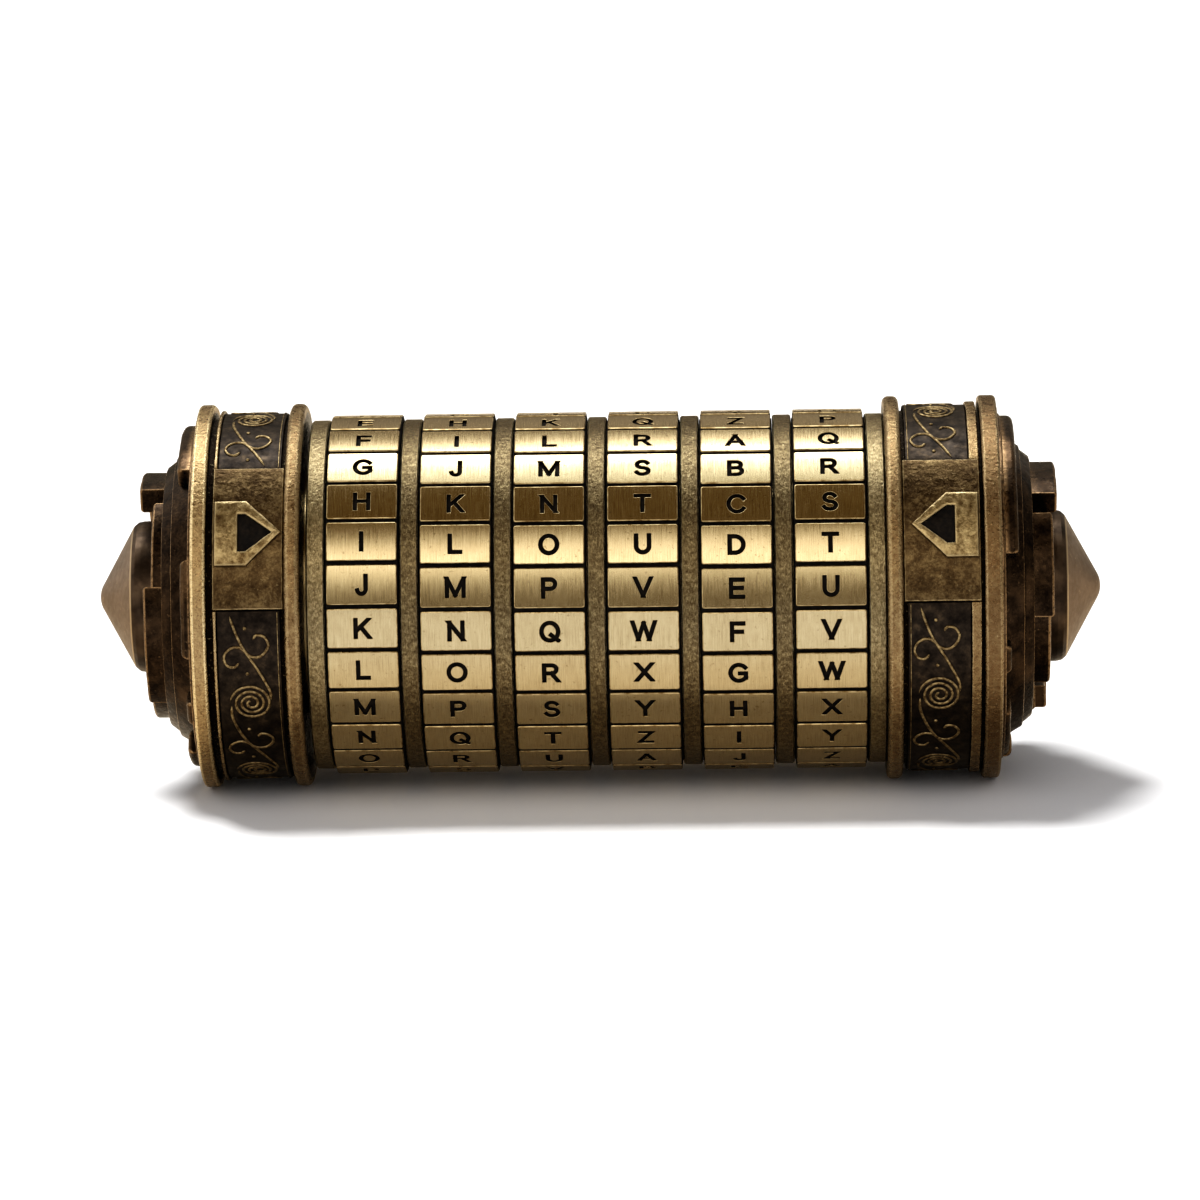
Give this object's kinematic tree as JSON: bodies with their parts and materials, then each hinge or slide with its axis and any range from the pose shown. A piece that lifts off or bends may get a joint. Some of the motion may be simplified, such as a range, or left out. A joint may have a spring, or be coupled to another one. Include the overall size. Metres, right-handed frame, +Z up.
{
  "type": "cryptex",
  "caption": "Cylindrical letter-lock box lying on its rims: flat-tiled brass dials turn between ornamented cuffs with pointers and stepped conical caps, and a drawer tube pulls out of one end.",
  "frame": {"origin": "centre of the bounding box, on the surface that the rims rest on", "axes": "+X along the cylinder towards its fixed end, +Z up, the pointers face -Y"},
  "size_m": [0.1308, 0.05, 0.05],
  "materials": {
    "tile_brass": "brushed, lightly lacquered",
    "ring_brass": "aged, mottled",
    "cuff_brass": "antiqued, edges rubbed bright",
    "dark_patina": "near-black patina with rubbed relief",
    "cap_bronze": "dark brown patina, edges rubbed",
    "cone_bronze": "satin brown patina",
    "inner_brass": "turned, plain",
    "steel": "satin"
  },
  "bodies": {
    "casing": {"right_end_spacer": "ring_brass", "right_cuff": "cuff_brass", "right_pointer_plate": "cuff_brass", "right_scroll_band": "dark_patina", "right_end_cap": "cap_bronze", "right_finial": "cone_bronze", "right_cap_screws": "steel", "right_finial_nut": "steel", "sleeve": "inner_brass", "sleeve_flange": "inner_brass", "lock_ring": "ring_brass", "spacer_ring_1": "ring_brass", "spacer_ring_2": "ring_brass", "spacer_ring_3": "ring_brass", "spacer_ring_4": "ring_brass", "spacer_ring_5": "ring_brass"},
    "dial_1": {"letter_ring_1": "tile_brass", "code_ring_1": "inner_brass"},
    "dial_2": {"letter_ring_2": "tile_brass", "code_ring_2": "inner_brass"},
    "dial_3": {"letter_ring_3": "tile_brass", "code_ring_3": "inner_brass"},
    "dial_4": {"letter_ring_4": "tile_brass", "code_ring_4": "inner_brass"},
    "dial_5": {"letter_ring_5": "tile_brass", "code_ring_5": "inner_brass"},
    "dial_6": {"letter_ring_6": "tile_brass", "code_ring_6": "inner_brass"},
    "drawer": {"drawer_tube": "inner_brass", "drawer_flange": "inner_brass", "code_lugs": "steel", "left_cuff": "cuff_brass", "left_pointer_plate": "cuff_brass", "left_scroll_band": "dark_patina", "left_end_cap": "cap_bronze", "left_finial": "cone_bronze", "left_cap_screws": "steel", "left_finial_nut": "steel"}
  },
  "joints": [
    {"name": "dial_1_turn", "type": "hinge", "parent": "casing", "child": "dial_1", "pos_m": [0, 0, 0.025], "axis": [1, 0, 0], "continuous": true},
    {"name": "dial_2_turn", "type": "hinge", "parent": "casing", "child": "dial_2", "pos_m": [0, 0, 0.025], "axis": [1, 0, 0], "continuous": true},
    {"name": "dial_3_turn", "type": "hinge", "parent": "casing", "child": "dial_3", "pos_m": [0, 0, 0.025], "axis": [1, 0, 0], "continuous": true},
    {"name": "dial_4_turn", "type": "hinge", "parent": "casing", "child": "dial_4", "pos_m": [0, 0, 0.025], "axis": [1, 0, 0], "continuous": true},
    {"name": "dial_5_turn", "type": "hinge", "parent": "casing", "child": "dial_5", "pos_m": [0, 0, 0.025], "axis": [1, 0, 0], "continuous": true},
    {"name": "dial_6_turn", "type": "hinge", "parent": "casing", "child": "dial_6", "pos_m": [0, 0, 0.025], "axis": [1, 0, 0], "continuous": true},
    {"name": "drawer_slide", "type": "slide", "parent": "casing", "child": "drawer", "axis": [-1, 0, 0], "range_m": [0, 0.16]}
  ]
}
